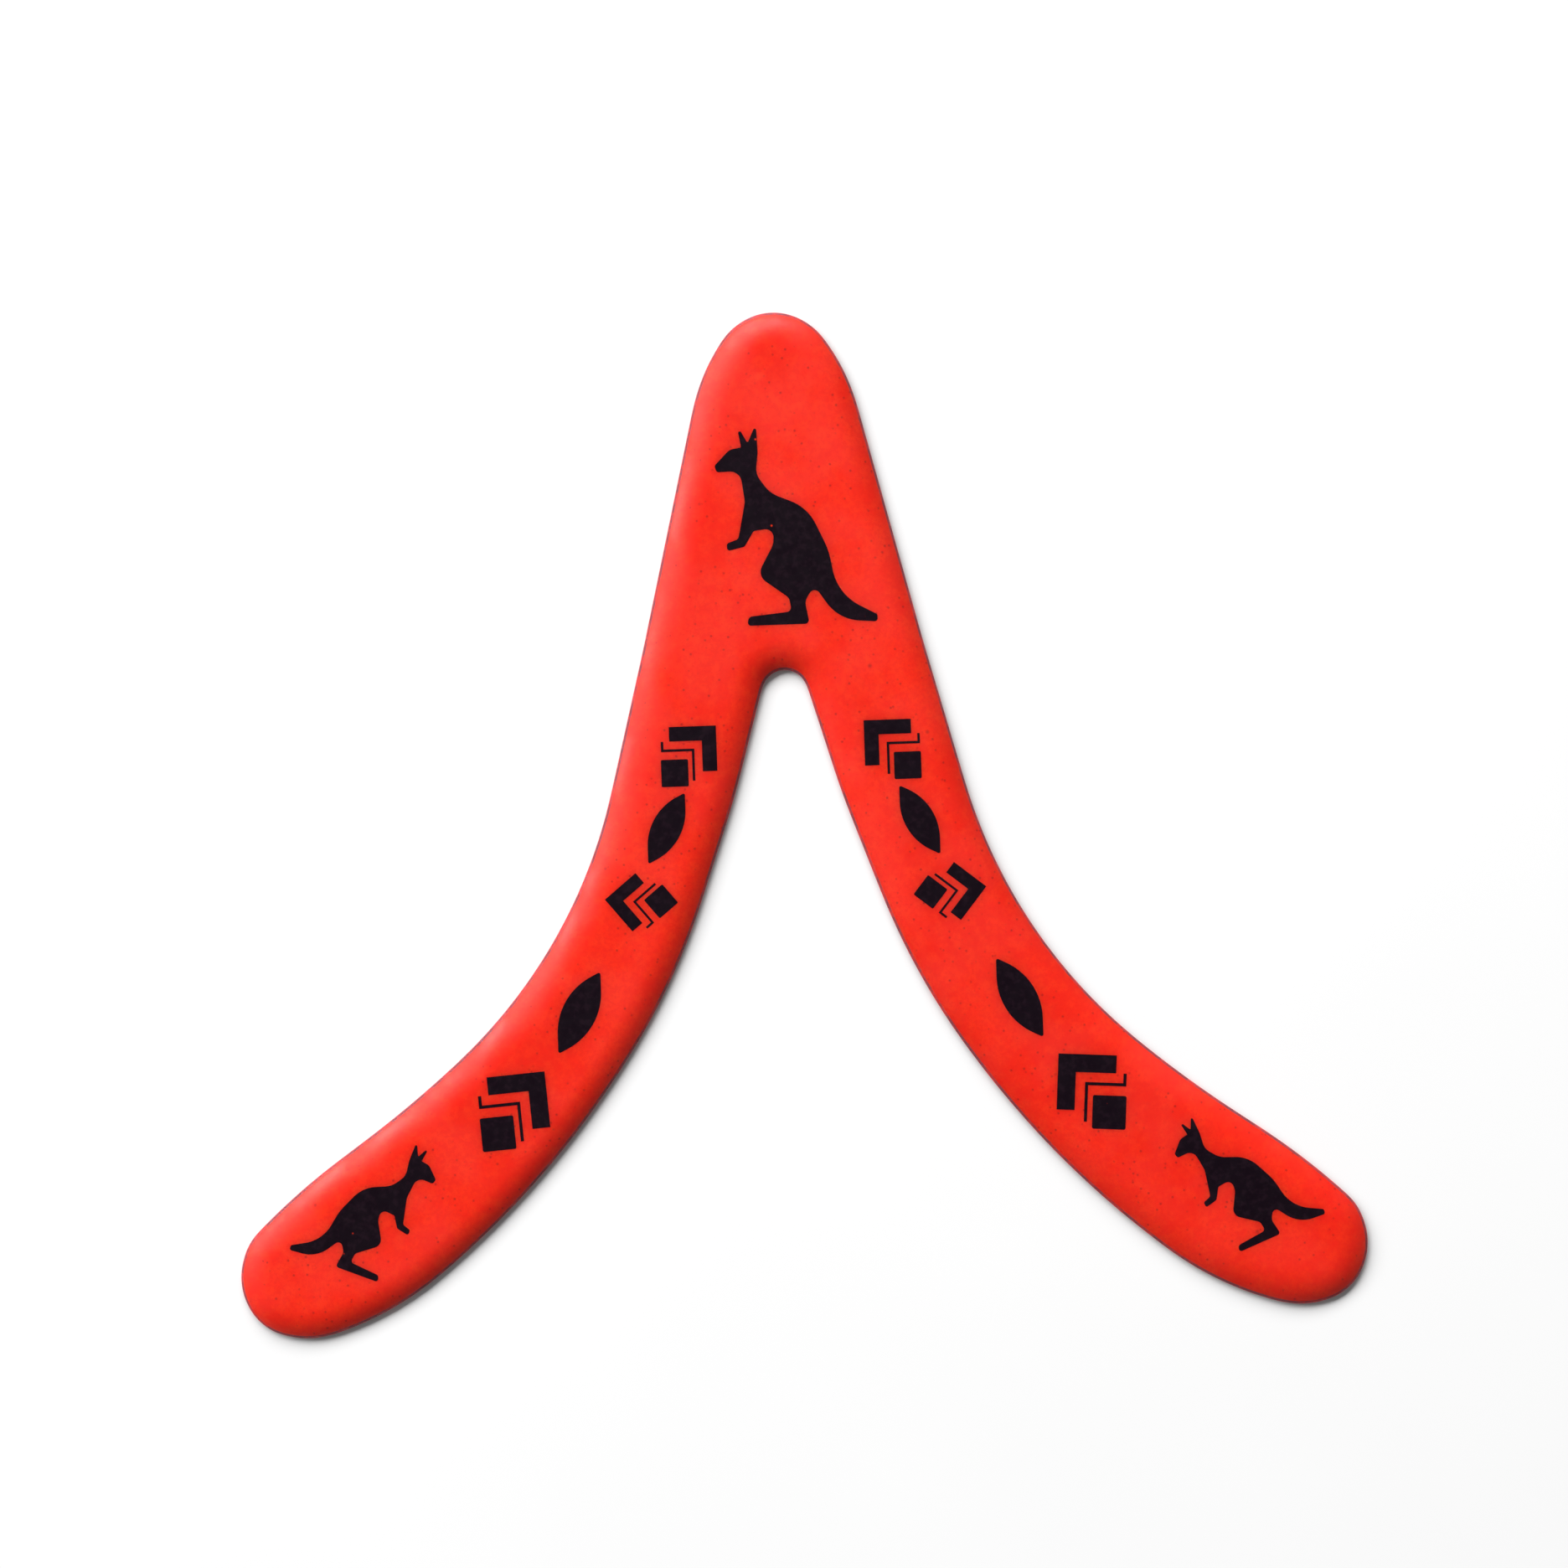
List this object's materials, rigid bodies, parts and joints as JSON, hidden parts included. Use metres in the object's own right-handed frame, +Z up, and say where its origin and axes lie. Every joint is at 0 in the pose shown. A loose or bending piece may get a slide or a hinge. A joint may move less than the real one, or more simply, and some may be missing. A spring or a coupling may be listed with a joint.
{
  "type": "boomerang",
  "caption": "Red-orange moulded plastic boomerang with two curved arms meeting at a rounded elbow, flat underside and dark printed kangaroo and geometric marks.",
  "frame": {"origin": "centre of the bounding box's footprint, on the flat underside", "axes": "+X from the left arm's tip to the right arm's tip, +Y towards the elbow, +Z up through the printed top"},
  "size_m": [0.29, 0.2596, 0.0041],
  "materials": {
    "plastic": "satin",
    "ink": "satin"
  },
  "bodies": {
    "root": {"blade": "plastic", "elbow_kangaroo": "ink", "left_tip_kangaroo": "ink", "right_tip_kangaroo": "ink", "left_upper_bar": "ink", "left_upper_line": "ink", "left_upper_tile": "ink", "left_middle_bar": "ink", "left_middle_line": "ink", "left_middle_tile": "ink", "left_lower_bar": "ink", "left_lower_line": "ink", "left_lower_tile": "ink", "right_upper_bar": "ink", "right_upper_line": "ink", "right_upper_tile": "ink", "right_middle_bar": "ink", "right_middle_line": "ink", "right_middle_tile": "ink", "right_lower_bar": "ink", "right_lower_line": "ink", "right_lower_tile": "ink", "left_upper_leaf": "ink", "left_lower_leaf": "ink", "right_upper_leaf": "ink", "right_lower_leaf": "ink"}
  },
  "joints": []
}
